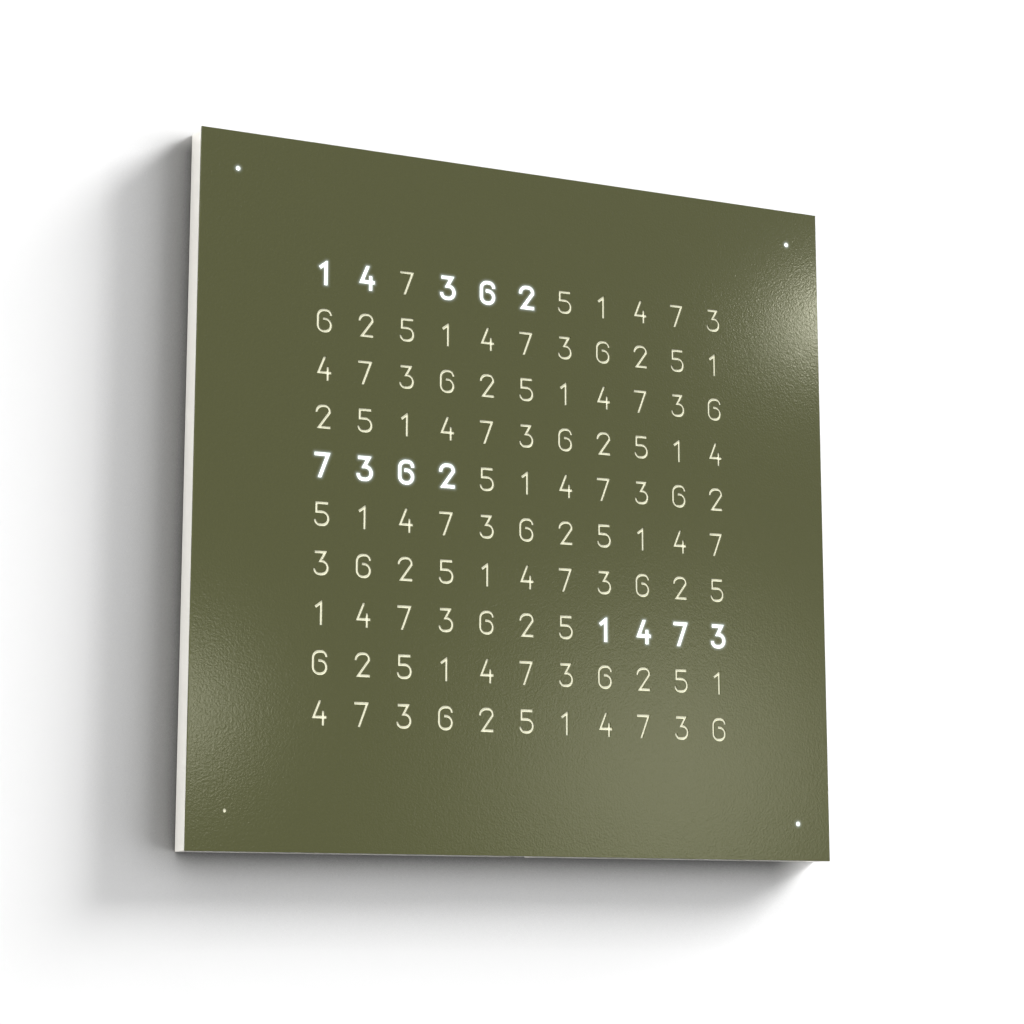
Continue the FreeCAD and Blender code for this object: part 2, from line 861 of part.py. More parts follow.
def make_rear_cover():
    """The sheet that closes the rear, with windows for the hangers and a notch for the plug."""
    cover = new_body("rear_cover")
    block(cover, REAR_SIDE, REAR_SIDE, "rear_thickness")
    window = square_cut(
        cover,
        "keyhole_window_width",
        "keyhole_window_height",
        "rear_thickness",
        "-keyhole_across",
        "keyhole_entry_up + keyhole_travel / 2",
    )
    spread(cover, window, "2", "2 * keyhole_across")
    notch_height = f"2 * (inlet_up + ({REAR_SIDE}) / 2)"
    square_cut(
        cover, "notch_width", notch_height, "rear_thickness", up=f"-({REAR_SIDE}) / 2"
    )
    seat = turned(cover, countersunk_sketch(cover, "seat_gap"), "H_Axis", cut=True)
    spread(cover, seat, "2", "2 * rear_screw_across")
    tongue = block(
        cover, "tongue_width", "2 * tongue_reach", "tongue_thickness", "-tongue_across",
        TONGUE_UP, TONGUE_REAR,
    )
    spread(cover, tongue, "2", "2 * tongue_across")
    return sub_part(cover)


def make_rear_screws():
    """Countersunk screws that hold the lower edge of the rear cover."""
    screws = new_body("rear_cover_screws", several=True)
    screw = turned(screws, countersunk_sketch(screws), "H_Axis")
    spread(screws, screw, "2", "2 * rear_screw_across")
    return sub_part(screws)


def make_keyhole_plate(name, side):
    """A steel hanger plate: a round entry that narrows upwards into a slot."""
    plate = new_body(name)
    across = f"{side} * keyhole_across"
    entry = "keyhole_entry_up"
    through = "keyhole_plate_thickness"
    middle = f"{entry} + keyhole_travel / 2"
    block(
        plate, "keyhole_plate_width", "keyhole_plate_height", through, across, middle, PLATE_REAR
    )
    round_cut(plate, "keyhole_entry", through, across, entry, PLATE_REAR)
    square_cut(plate, "keyhole_slot", "keyhole_travel", through, across, middle, PLATE_REAR)
    round_cut(plate, "keyhole_slot", through, across, f"{entry} + keyhole_travel", PLATE_REAR)
    return sub_part(plate)


# The electronics


def on_control_board(name, width, height, depth, across, up):
    """A block that stands on the control board and faces the rear."""
    return box(name, width, height, depth, across, up, f"{CONTROL_REAR} - ({depth})")


def make_control_board():
    """The board in the bay, the foam tape that it lies on and what is soldered to it."""
    board = ("control_width", "control_height")
    box("control_board_tape", *board, "tape_thickness", up=BAY_UP, station=TAPE_REAR)
    box("control_board", *board, "board_thickness", up=BAY_UP, station=CONTROL_REAR)
    on_control_board(
        "microcontroller",
        "controller_side",
        "controller_side",
        "controller_thickness",
        "controller_across",
        "controller_up",
    )
    on_control_board(
        "quartz_crystal", "crystal_width", "crystal_height", "crystal_depth",
        "controller_across", "crystal_up",
    )
    on_control_board(
        "voltage_regulator", "regulator_width", "regulator_height", "regulator_depth",
        "regulator_across", "regulator_up",
    )
    on_control_board(
        "control_board_header", "header_width", "header_height", "control_header_depth", "0",
        "control_header_up",
    )


def make_coin_cell():
    """The cell that keeps the time while the power is off, in its open holder."""
    place = ("cell_across", "cell_up")
    rear = f"{CONTROL_REAR} - holder_depth"
    holder = new_body("coin_cell_holder")
    block(holder, "holder_side", "holder_side", "holder_depth", *place, rear)
    round_cut(holder, "cell_diameter + holder_clearance", "cell_thickness", *place, rear)
    sub_part(holder)
    cell = new_body("coin_cell")
    disc(cell, "cell_diameter", "cell_thickness", *place, rear)
    sub_part(cell)


def make_ribbon():
    """The header on the light board and the flat cable that joins it to the control board."""
    box(
        "light_board_header", "header_width", "header_height", "board_header_depth", "0",
        "board_header_up", f"{BOARD_REAR} - board_header_depth",
    )
    thickness = size("ribbon_thickness")
    width = size("ribbon_width")
    control_rear = size("bay_station") - size("tape_thickness") - size("board_thickness")
    light_front = size("total_depth") - size("cover_thickness") - size("diffuser_thickness")
    board_rear = light_front - size("light_depth") - size("board_thickness")
    low_station = control_rear - size("control_header_depth") - thickness / 2
    high_station = board_rear - size("board_header_depth") - thickness / 2
    low = size("control_header_up")
    high = size("board_header_up")
    half = size("header_height") / 2
    route = [
        (low - half, low_station),
        (low + half, low_station),
        (high - half - thickness, high_station),
        (high + half, high_station),
    ]
    edge = [vector(-width / 2, -point.y, point.x) for point in stroke_outline(route, thickness)]
    ribbon = document.addObject("Part::Feature", "ribbon_cable")
    ribbon.Label = "ribbon_cable"
    ribbon.Shape = Part.Face(Part.makePolygon(edge + edge[:1])).extrude(vector(width, 0, 0))
    return sub_part(ribbon)


def make_power_inlet():
    """The jack, its mouth facing down into the notch, and the pin in its bore."""
    rear = f"{CONTROL_REAR} - jack_depth"
    axis = f"{rear} + jack_depth / 2"
    housing = new_body("dc_jack_housing")
    block(
        housing, "jack_width", "jack_length", "jack_depth", "0", "inlet_up + jack_length / 2", rear
    )
    mouth = sketch_on(housing, "XY_Plane", "0", f"-({axis})", "inlet_up")
    pocket(housing, circle(mouth, "jack_bore"), "jack_bore_length")
    sub_part(housing)
    pin = new_body("dc_jack_pin")
    root = f"inlet_up + jack_bore_length - jack_pin_length"
    foot = sketch_on(pin, "XY_Plane", "0", f"-({axis})", root)
    pad(pin, circle(foot, "jack_pin"), "jack_pin_length")
    sub_part(pin)


# The buttons and the light sensor


def button_across(number):
    return f"button_first + {number - 1} * button_pitch"


def make_switch_housings():
    """The housings of the four key switches at the lower edge of the control board."""
    housings = new_body("switch_housings", several=True)
    low = "key_up + plunger_out"
    first = block(
        housings, "switch_width", "switch_height", "switch_depth", "button_first",
        f"{low} + switch_height / 2", f"{CONTROL_REAR} - switch_depth",
    )
    spread(housings, first, "button_count", "(button_count - 1) * button_pitch")
    mouth = sketch_on(housings, "XY_Plane", "button_first", f"-({KEY_STATION})", low)
    rectangle(
        mouth, "plunger_width + 2 * plunger_clearance", "plunger_depth + 2 * plunger_clearance"
    )
    bore = pocket(housings, mouth, "plunger_in + 2 * button_travel")
    spread(housings, bore, "button_count", "(button_count - 1) * button_pitch")
    return sub_part(housings)


def make_button(number):
    """One button: its cap in the slot, the flange that keeps it in, and the key plunger."""
    across = button_across(number)
    button = new_body(f"button_{number}")
    low = f"{BOTTOM_EDGE} + button_sunk"
    face = sketch_on(button, "XY_Plane", across, f"-({KEY_STATION})", low)
    pad(button, rectangle(face, "button_width", "button_depth"), f"key_up - ({low})")
    flange_low = f"{BAY_FLOOR_UP} + button_clearance"
    rim = sketch_on(button, "XY_Plane", across, f"-({KEY_STATION})", flange_low)
    pad(button, rectangle(rim, "flange_width", "flange_depth"), "flange_height")
    sub_part(button)
    box(
        f"key_plunger_{number}", "plunger_width", "plunger_out + plunger_in", "plunger_depth",
        across, "key_up + (plunger_out + plunger_in) / 2", f"{KEY_STATION} - plunger_depth / 2",
    )


def make_light_sensor():
    """The sensor on the control board and the clear guide that leads light up to it."""
    box(
        "light_sensor", "sensor_width", "sensor_height", "switch_depth", "sensor_across",
        "key_up + sensor_height / 2", f"{CONTROL_REAR} - switch_depth",
    )
    box(
        "sensor_light_guide", "guide_side", f"key_up - ({BOTTOM_EDGE})", "guide_side",
        "sensor_across", f"(key_up + {BOTTOM_EDGE}) / 2", f"{KEY_STATION} - guide_side / 2",
    )


# The check and the files


def check_model():
    """Stops where an object has failed or a sub-part is empty or not valid."""
    for item in document.Objects:
        if "Invalid" in item.State or "Error" in item.State:
            raise ValueError(f"{item.Label} has failed: {item.State}")
    for piece in sub_parts:
        if piece.Shape.isNull() or not piece.Shape.isValid() or not piece.Shape.Solids:
            raise ValueError(f"{piece.Label} is not a valid solid")


def write_files():
    os.makedirs("parts", exist_ok=True)
    for piece in sub_parts:
        piece.Shape.exportStep(os.path.join("parts", piece.Label + ".step"))
        print(piece.Label, len(piece.Shape.Solids), round(piece.Shape.Volume, 1))


fill_sheet()
make_body_panel()
make_light_stack()
make_corner_lights()
make_cover_magnets()
make_cover_studs()
make_front_cover()
make_rear_cover()
make_rear_screws()
make_keyhole_plate("keyhole_plate_left", -1)
make_keyhole_plate("keyhole_plate_right", 1)
make_control_board()
make_coin_cell()
make_ribbon()
make_power_inlet()
make_switch_housings()
for button_number in range(1, round(size("button_count")) + 1):
    make_button(button_number)
make_light_sensor()
document.recompute()
check_model()
write_files()
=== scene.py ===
# %% [markdown]
# # A word clock on a white wall
#
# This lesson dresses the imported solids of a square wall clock. Its olive steel cover has a grid
# of cut-through digits, and thirteen of them and three of the four minute holes are lit. The
# solids are loaded first and never moved. Pieces whose surface needs more than the solids hold,
# such as the round corners of the digits, are modelled here and stand in for their nodes.

# %% Load the solids
import json
import math

import bpy
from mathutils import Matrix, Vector
from mathutils.bvhtree import BVHTree


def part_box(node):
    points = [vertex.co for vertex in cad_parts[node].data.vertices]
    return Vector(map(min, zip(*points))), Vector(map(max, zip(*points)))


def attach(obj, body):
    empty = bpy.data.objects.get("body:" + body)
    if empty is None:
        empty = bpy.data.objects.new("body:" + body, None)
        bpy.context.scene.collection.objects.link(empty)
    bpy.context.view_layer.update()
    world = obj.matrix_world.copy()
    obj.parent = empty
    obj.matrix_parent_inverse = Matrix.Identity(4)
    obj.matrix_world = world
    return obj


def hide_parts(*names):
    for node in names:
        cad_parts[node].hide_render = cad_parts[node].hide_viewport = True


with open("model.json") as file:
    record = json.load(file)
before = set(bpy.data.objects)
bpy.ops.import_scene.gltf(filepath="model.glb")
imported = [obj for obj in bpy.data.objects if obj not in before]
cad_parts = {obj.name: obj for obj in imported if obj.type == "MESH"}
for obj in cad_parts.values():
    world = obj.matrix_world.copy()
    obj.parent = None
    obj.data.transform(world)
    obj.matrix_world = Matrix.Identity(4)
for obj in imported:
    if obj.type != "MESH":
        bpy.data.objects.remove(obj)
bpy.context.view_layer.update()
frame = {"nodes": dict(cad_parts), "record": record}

nodes = frame["nodes"]

# %% The sizes that pieces share, in metres
MM = 0.001
CLOCK_SIDE = 0.450
HALF = CLOCK_SIDE / 2
FACE = -0.0200
COVER_REAR = -0.0185
TOLERANCE = 1e-5
print("The face is a square of", CLOCK_SIDE, "m")

# %% [markdown]
# ## The camera
#
# The photograph was taken from the lower left with a long lens. The four corners of the face,
# seen in perspective, give the place of the camera and the length of the lens. It is level, so
# it is enough to aim it at a point of the face.

# %% Add the camera
CAMERA_PLACE = Vector((-0.6599, -1.4108, -0.2778))
CAMERA_AIM = Vector((-0.0106, -0.0200, -0.0046))
LENS_MM = 84.77
SENSOR_MM = 36

bpy.ops.object.camera_add(
    location=CAMERA_PLACE, rotation=(CAMERA_AIM - CAMERA_PLACE).to_track_quat("-Z", "Y").to_euler()
)
camera = bpy.context.object
camera.data.lens = LENS_MM
camera.data.sensor_width = SENSOR_MM
camera.data.clip_start = 0.05
bpy.context.scene.camera = camera
print("camera at", round((CAMERA_AIM - CAMERA_PLACE).length, 3), "m from the face")

# %% [markdown]
# ## Working in edit mode from code
#
# Each mesh operator acts on what is selected, so every step needs the same start: nothing else
# selected, one piece active, and just the wanted faces or edges picked. These helpers pick them
# by their place or direction, as a hand would by looking at them.

# %% Helpers that select
def to_object_mode():
    if bpy.context.object and bpy.context.object.mode != "OBJECT":
        bpy.ops.object.mode_set(mode="OBJECT")


def deselect_all():
    to_object_mode()
    bpy.ops.object.select_all(action="DESELECT")


def make_active(piece):
    deselect_all()
    piece.select_set(True)
    bpy.context.view_layer.objects.active = piece


def edit_picked(piece, kind, wanted):
    """Opens the piece in edit mode with only the faces or edges picked that wanted() accepts."""
    make_active(piece)
    mesh = piece.data
    if kind == "faces":
        picked = [wanted(face.center, face.normal) for face in mesh.polygons]
    else:
        ends = [[mesh.vertices[i].co for i in edge.vertices] for edge in mesh.edges]
        picked = [wanted((a + b) / 2, b - a) for a, b in ends]
    mesh.vertices.foreach_set("select", [False] * len(mesh.vertices))
    mesh.edges.foreach_set("select", [False] * len(mesh.edges))
    mesh.polygons.foreach_set("select", [False] * len(mesh.polygons))
    (mesh.polygons if kind == "faces" else mesh.edges).foreach_set("select", picked)
    bpy.context.tool_settings.mesh_select_mode = (False, kind == "edges", kind == "faces")
    bpy.ops.object.mode_set(mode="EDIT")
    return sum(picked)


def everything(centre, normal):
    return True


def is_front(centre, normal):
    return normal.y < -0.9


# %% Helpers that shape
def apply_modifier(piece, kind, **settings):
    make_active(piece)
    bpy.ops.object.modifier_add(type=kind)
    modifier = piece.modifiers[-1]
    for name, value in settings.items():
        setattr(modifier, name, value)
    bpy.ops.object.modifier_apply(modifier=modifier.name)


def combine(piece, other, operation):
    apply_modifier(piece, "BOOLEAN", operation=operation, solver="EXACT", object=other)


def join_pieces(pieces, name):
    deselect_all()
    for piece in pieces:
        piece.select_set(True)
    bpy.context.view_layer.objects.active = pieces[0]
    bpy.ops.object.join()
    joined = bpy.context.object
    joined.name = name
    return joined


def settle(piece):
    """Puts the place of the piece into its mesh, so that the object sits at the origin."""
    make_active(piece)
    bpy.ops.object.transform_apply(location=True, rotation=True, scale=True)
    return piece


def add_sheet(name, middle, size):
    bpy.ops.mesh.primitive_cube_add(size=1, location=middle)
    sheet = bpy.context.object
    sheet.name = name
    sheet.scale = size
    return settle(sheet)


def divide_front(piece, place, direction):
    """Divides the front faces of a piece along the plane through that place."""
    edit_picked(piece, "faces", is_front)
    bpy.ops.mesh.bisect(plane_co=place, plane_no=direction, threshold=1e-7)
    to_object_mode()


def open_edges(piece):
    """The number of edges without two faces, which is none on a closed shape."""
    sides = {}
    for face in piece.data.polygons:
        for key in face.edge_keys:
            sides[key] = sides.get(key, 0) + 1
    return sum(1 for count in sides.values() if count != 2)


def round_outline(piece, depth, radius):
    """Rounds the four corners of the clock on a piece, and its outline at one depth."""
    def on_outline(middle, along):
        at_side = abs(abs(middle.x) - HALF) < TOLERANCE
        at_end = abs(abs(middle.z) - HALF) < TOLERANCE
        at_depth = abs(middle.y - depth) < TOLERANCE
        return (at_side and at_end) or (at_depth and (at_side or at_end))

    picked = edit_picked(piece, "edges", on_outline)
    bpy.ops.mesh.bevel(offset=radius, segments=2, affect="EDGES", clamp_overlap=True)
    to_object_mode()
    print(picked, "outer edges rounded,", open_edges(piece), "open edges")


# %% [markdown]
# ## Working with nodes from code
#
# Each finish is a small node tree on Object coordinates, so that its grain has its real size in
# metres. A noise gives the colour a slight unevenness and another lifts the surface a little.
# The first helpers serve the finishes and the world alike.

# %% Helpers for any node tree
def add_node(owner, kind, **settings):
    node = owner.node_tree.nodes.new(kind)
    for name, value in settings.items():
        setattr(node, name, value)
    return node


def connect(owner, output, target):
    owner.node_tree.links.new(output, target)


def object_place(owner):
    return add_node(owner, "ShaderNodeTexCoord").outputs["Object"]


def math_step(owner, operation, first, second=None):
    """One sum, whose values are plain numbers or outputs of other nodes."""
    step = add_node(owner, "ShaderNodeMath", operation=operation)
    for socket, value in zip(step.inputs, (first, second)):
        if isinstance(value, (int, float)):
            socket.default_value = value
        elif value is not None:
            connect(owner, value, socket)
    return step.outputs["Value"]


def map_range(owner, value, start=0.0, end=1.0, low=0.0, high=1.0, curve="LINEAR"):
    """Goes from low to high while the value goes from start to end."""
    step = add_node(owner, "ShaderNodeMapRange", interpolation_type=curve)
    numbers = {"From Min": start, "From Max": end, "To Min": low, "To Max": high}
    for socket, number in numbers.items():
        step.inputs[socket].default_value = number
    connect(owner, value, step.inputs["Value"])
    return step.outputs["Result"]


# %% Helpers for finishes
def shader_of(finish):
    return finish.node_tree.nodes["Principled BSDF"]


def new_finish(name, roughness=0.5, metallic=0.0, specular=0.5):
    finish = bpy.data.materials.new(name)
    finish.use_nodes = True
    shader = shader_of(finish)
    shader.inputs["Roughness"].default_value = roughness
    shader.inputs["Metallic"].default_value = metallic
    shader.inputs["Specular IOR Level"].default_value = specular
    return finish


def grain(finish, size, detail=2.0, stretch=(1, 1, 1)):
    """Noise whose lumps are about size metres across, longer where stretch is below 1."""
    scale = add_node(finish, "ShaderNodeMapping")
    scale.inputs["Scale"].default_value = [s / size for s in stretch]
    noise = add_node(finish, "ShaderNodeTexNoise")
    noise.inputs["Scale"].default_value = 1.0
    noise.inputs["Detail"].default_value = detail
    connect(finish, object_place(finish), scale.inputs["Vector"])
    connect(finish, scale.outputs["Vector"], noise.inputs["Vector"])
    return noise.outputs["Fac"]


def colour(finish, pattern, dark, light, low=0.3, high=0.7):
    """The base colour goes from dark to light while the pattern goes from low to high."""
    ramp = add_node(finish, "ShaderNodeValToRGB")
    for stop, position, shade in zip(ramp.color_ramp.elements, (low, high), (dark, light)):
        stop.position = position
        stop.color = (*shade, 1)
    connect(finish, pattern, ramp.inputs["Fac"])
    connect(finish, ramp.outputs["Color"], shader_of(finish).inputs["Base Color"])


def tint(shade, share):
    return tuple(c * share for c in shade)


def relief(finish, pattern, height, strength=1.0):
    bump = add_node(finish, "ShaderNodeBump")
    bump.inputs["Distance"].default_value = height
    bump.inputs["Strength"].default_value = strength
    connect(finish, pattern, bump.inputs["Height"])
    connect(finish, bump.outputs["Normal"], shader_of(finish).inputs["Normal"])


def uneven_gloss(finish, pattern, low, high):
    """The roughness goes from low to high with the pattern, in place of one even value."""
    spread = map_range(finish, pattern, low=low, high=high)
    connect(finish, spread, shader_of(finish).inputs["Roughness"])


def emit(finish, shade, strength):
    shader = shader_of(finish)
    shader.inputs["Emission Color"].default_value = (*shade, 1)
    shader.inputs["Emission Strength"].default_value = strength


# %% [markdown]
# ## The wall
#
# The clock hangs on a white wall, and the soft shadow on it says most about the light. The wall
# is one big plane, just behind the back of the clock. Its rear side is made transparent, and it
# is open behind the clock, so that the back of the clock can be looked at and lit as well.
#
# Close to the left and the lower edge the wall is darker still, where the clock hides it from
# the room. The Ambient Occlusion node measures that, and this shade is painted into the wall's
# colour at these two edges alone, because the light from the upper right washes it out at the
# others.

# %% Model the wall
WALL = 0.0002
WALL_SIDE = 8
HIDDEN_RIM = 0.0005

bpy.ops.mesh.primitive_plane_add(
    size=WALL_SIDE, location=(0, WALL, 0), rotation=(math.radians(90), 0, 0)
)
wall = settle(bpy.context.object)
wall.name = "wall"
edit_picked(wall, "faces", everything)
bpy.ops.mesh.inset(thickness=WALL_SIDE / 2 - HALF + HIDDEN_RIM)
bpy.ops.mesh.delete(type="FACE")
to_object_mode()
print("wall opening", round(2 * min(abs(v.co.x) for v in wall.data.vertices), 4), "m")

# %% Mix the paint of the wall, with painted shade at two of its edges
WHITE_TONE = 0.9
PAINTED_SHADE_TONE = 0.18
CONTACT_REACH = 0.06
# Places on the wall between which the painted shade sets in.
SHADE_START = -0.205
SHADE_TOP = (0.234, 0.212)
SHADE_RIGHT = (HALF, 0.190)

wall_paint = new_finish("wall_paint", roughness=0.9, specular=0.1)
hidden = add_node(wall_paint, "ShaderNodeAmbientOcclusion", samples=8)
hidden.inputs["Distance"].default_value = CONTACT_REACH
painted_contact_shade = map_range(wall_paint, hidden.outputs["AO"], 0.5, 1.0, PAINTED_SHADE_TONE, WHITE_TONE)
wall_place = add_node(wall_paint, "ShaderNodeSeparateXYZ")
connect(wall_paint, object_place(wall_paint), wall_place.inputs["Vector"])


def past(axis, start, end):
    """0 before the start and 1 past the end, along an axis of the wall."""
    return map_range(wall_paint, wall_place.outputs[axis], start, end, curve="SMOOTHSTEP")


# Painted shade: the wall's colour goes dark by occlusion along its left and lower edges.
left = math_step(wall_paint, "MULTIPLY", past("X", SHADE_START, -HALF), past("Z", *SHADE_TOP))
lower = math_step(wall_paint, "MULTIPLY", past("Z", SHADE_START, -HALF), past("X", *SHADE_RIGHT))
painted_shade_mix = add_node(wall_paint, "ShaderNodeMix", data_type="FLOAT")
painted_shade_mix.inputs["A"].default_value = WHITE_TONE
connect(wall_paint, math_step(wall_paint, "MAXIMUM", left, lower), painted_shade_mix.inputs["Factor"])
connect(wall_paint, painted_contact_shade, painted_shade_mix.inputs["B"])
connect(wall_paint, painted_shade_mix.outputs["Result"], shader_of(wall_paint).inputs["Base Color"])

# %% Make the rear side of the wall clear
side = add_node(wall_paint, "ShaderNodeNewGeometry")
clear = add_node(wall_paint, "ShaderNodeBsdfTransparent")
either = add_node(wall_paint, "ShaderNodeMixShader")
connect(wall_paint, side.outputs["Backfacing"], either.inputs["Fac"])
connect(wall_paint, shader_of(wall_paint).outputs["BSDF"], either.inputs[1])
connect(wall_paint, clear.outputs["BSDF"], either.inputs[2])
surface = wall_paint.node_tree.nodes["Material Output"].inputs["Surface"]
connect(wall_paint, either.outputs["Shader"], surface)
wall.data.materials.append(wall_paint)
print("wall faces", {tuple(round(n, 1) for n in face.normal) for face in wall.data.polygons})

# %% [markdown]
# ## The light
#
# On the wall the shadow is long and soft to the left and below, so the light that makes it rakes
# along the wall from the upper right, and two wider lamps fill it in. These three are linked to
# the wall alone, because they would burn out the pale sides of the clock. The clock has its own
# lamps at a plain level, which leave the wall out, and three small lamps close to the face that
# show as the soft patches of shine. One lamp behind the wall lights the back of the clock.

# %% Light the wall
def sun(name, towards, strength, angle):
    bpy.ops.object.light_add(
        type="SUN", location=towards, rotation=Vector(towards).to_track_quat("Z", "Y").to_euler()
    )
    lamp = bpy.context.object
    lamp.name = name
    lamp.data.energy = strength
    lamp.data.angle = math.radians(angle)
    return lamp


def link_wall(lamp, state):
    """INCLUDE lights only the wall, and EXCLUDE everything but the wall."""
    group = bpy.data.collections.new(lamp.name + "_link")
    group.objects.link(wall)
    lamp.light_linking.receiver_collection = group
    group.collection_objects[0].light_linking.link_state = state


for name, towards, strength, angle in (
    ("raking_lamp", (5.4, -1.0, 3.65), 10.8, 25),
    ("upper_lamp", (1.7, -1.0, 0.1), 2.15, 58),
    ("soft_lamp", (0.0, -1.0, 0.01), 0.4, 120),
):
    link_wall(sun(name, towards, strength, angle), "INCLUDE")
    print(name, "lights the wall")

# %% Light the clock
for name, towards, strength in (
    ("front_lamp", (-0.3, -1.0, 0.6), 1.7),
    ("left_lamp", (-1.0, -0.35, -0.1), 2.16),
    ("right_lamp", (1.0, -0.5, 0.5), 0.7),
):
    link_wall(sun(name, towards, strength, angle=30), "EXCLUDE")
    print(name, "lights the clock")
sun("back_lamp", (-0.5, 1.0, 0.5), strength=2.2, angle=30)

# %% [markdown]
# The room is white where it is looked at, straight, mirrored or through a clear piece, but it
# gives little light, so that the lamps shape the clock.

# %% Paint the room
ROOM_LIGHT = 0.2

world = bpy.data.worlds.new("room")
bpy.context.scene.world = world
world.use_nodes = True
room = world.node_tree.nodes["Background"]
room.inputs["Color"].default_value = (1, 1, 1, 1)
ray = add_node(world, "ShaderNodeLightPath")
seen = math_step(world, "MAXIMUM", ray.outputs["Is Camera Ray"], ray.outputs["Is Glossy Ray"])
seen = math_step(world, "MAXIMUM", seen, ray.outputs["Is Transmission Ray"])
connect(world, map_range(world, seen, low=ROOM_LIGHT), room.inputs["Strength"])

# %% Add the lamps that shine on the face
SHINE_COLOUR = (1.0, 0.99, 0.80)


def shine_lamp(name, across, up, away, size, power):
    """A small lamp where the camera sees it mirrored in the face at that point."""
    spot = Vector((across, FACE, up))
    ray_in = (spot - CAMERA_PLACE).normalized()
    ray_out = Vector((ray_in.x, -ray_in.y, ray_in.z))
    bpy.ops.object.light_add(
        type="AREA", location=spot + ray_out * away,
        rotation=ray_out.to_track_quat("Z", "Y").to_euler(),
    )
    lamp = bpy.context.object
    lamp.name = name
    lamp.data.shape = "DISK"
    lamp.data.size = size
    lamp.data.energy = power
    lamp.data.color = SHINE_COLOUR
    lamp.visible_camera = False
    lamp.visible_diffuse = False
    link_wall(lamp, "EXCLUDE")
    print(name, "is", away, "m away from the face")


shine_lamp("shine_right", across=0.238, up=0.152, away=0.19, size=0.05, power=0.185)
shine_lamp("shine_left", across=-0.242, up=-0.142, away=0.25, size=0.08, power=0.145)
shine_lamp("shine_low", across=0.100, up=-0.171, away=0.45, size=0.25, power=0.52)

# %% [markdown]
# ## The digits
#
# Each cell of the grid holds one digit from 1 to 7, in a narrow drawn style: a line of even
# width with round corners and square ends. A digit is drawn as the tool that cuts it. Its centre
# line is drawn point by point by extruding a vertex, the line is extruded into a standing sheet,
# the sheet's upright edges are bevelled into round corners, and Solidify gives it the width of
# the stroke. The closed digit has a bridge, as a stencil has, so that nothing falls out.

# %% The lines of the digits
# All in millimetres from the middle of the cell. A point has its place across and up, and the
# radius of its corner. The centre line goes REACH to the sides and TOP up and down, and its ends
# are cut square at the frame.
STROKE = 1.7
REACH = 4.4
TOP = 6.9
WAIST = 1.3
FRAME_ACROSS = 5.25
FRAME_UP = 7.75
ROUND = 4.05
HOOK = 3.3

LOWER_BOWL = [(REACH, WAIST, ROUND), (REACH, -TOP, ROUND)]
OPEN_END = [(-REACH, -TOP, HOOK), (-REACH, -3.5, 0)]
DIGIT_LINES = {
    1: [[(-3.52, 3.38, 0), (0.44, 6.46, 0), (0.44, -8.6, 0)]],
    2: [[(-REACH, 2.6, 0), (-REACH, TOP, ROUND), (REACH, TOP, HOOK), (REACH, 3.0, 0),
         (-2.7, -TOP, 0), (FRAME_ACROSS, -TOP, 0)]],
    3: [[(-REACH, TOP, 0), (2.7, TOP, 0), (-0.44, WAIST, 0), *LOWER_BOWL, *OPEN_END]],
    4: [[(1.0, 8.6, 0), (-3.55, -2.6, 0), (6.1, -2.6, 0)], [(2.7, WAIST, 0), (2.7, -8.6, 0)]],
    5: [[(REACH, TOP, 0), (-3.55, TOP, 0), (-3.55, WAIST, 0), *LOWER_BOWL, *OPEN_END]],
    6: [[(-1.1, WAIST, 0), *LOWER_BOWL, (-REACH, -TOP, ROUND), (-REACH, TOP, ROUND),
         (REACH, TOP, HOOK), (REACH, 3.5, 0)]],
    7: [[(-6.1, TOP, 0), (3.55, TOP, 0), (-2.2, -8.6, 0)]],
}
print("strokes", {digit: len(lines) for digit, lines in DIGIT_LINES.items()})

# %% Draw one stroke as a cutting tool
CUT_REAR = -0.0180
CUT_DEEP = 0.0026
CORNER_SEGMENTS = 7


def stroke_tool(line):
    corners = [Vector((across, 0, up)) * MM for across, up, radius in line]
    bpy.ops.mesh.primitive_plane_add(size=MM, location=(0, 0, 0))
    tool = bpy.context.object
    bpy.context.tool_settings.mesh_select_mode = (True, False, False)
    bpy.ops.object.mode_set(mode="EDIT")
    bpy.ops.mesh.merge(type="CENTER")
    bpy.ops.transform.translate(value=corners[0] + Vector((0, CUT_REAR, 0)))
    for start, end in zip(corners, corners[1:]):
        bpy.ops.mesh.extrude_vertices_move(TRANSFORM_OT_translate={"value": end - start})
    bpy.ops.mesh.select_all(action="SELECT")
    bpy.ops.mesh.extrude_edges_move(TRANSFORM_OT_translate={"value": (0, -CUT_DEEP, 0)})
    to_object_mode()
    for radius in {r for across, up, r in line if r}:
        places = [Vector((x, 0, z)) * MM for x, z, r in line if r == radius]

        def at_corner(middle, along):
            flat = Vector((middle.x, 0, middle.z))
            upright = abs(along.y) > CUT_DEEP / 2
            return upright and any((flat - place).length < TOLERANCE for place in places)

        edit_picked(tool, "edges", at_corner)
        bpy.ops.mesh.bevel(
            offset=radius * MM, segments=CORNER_SEGMENTS, profile=0.5, affect="EDGES",
            clamp_overlap=False,
        )
        to_object_mode()
    apply_modifier(tool, "SOLIDIFY", thickness=STROKE * MM, offset=0, use_even_offset=True)
    return tool


# %% Trim a stroke at the frame of the digit
FRAME_SIDES = (
    (1, 0, FRAME_ACROSS), (-1, 0, FRAME_ACROSS), (0, 1, FRAME_UP), (0, -1, FRAME_UP)
)
TRIM_FROM = 0.05


def trim_tool(tool):
    """Cuts the ends of a stroke square where they stand out of the frame by TRIM_FROM."""
    for x, z, limit in FRAME_SIDES:
        far = max(v.co.x * x + v.co.z * z for v in tool.data.vertices)
        if far > (limit + TRIM_FROM) * MM:
            edit_picked(tool, "faces", everything)
            bpy.ops.mesh.bisect(
                plane_co=(x * limit * MM, 0, z * limit * MM), plane_no=(x, 0, z),
                use_fill=True, clear_outer=True, threshold=1e-7,
            )
            to_object_mode()
    return tool


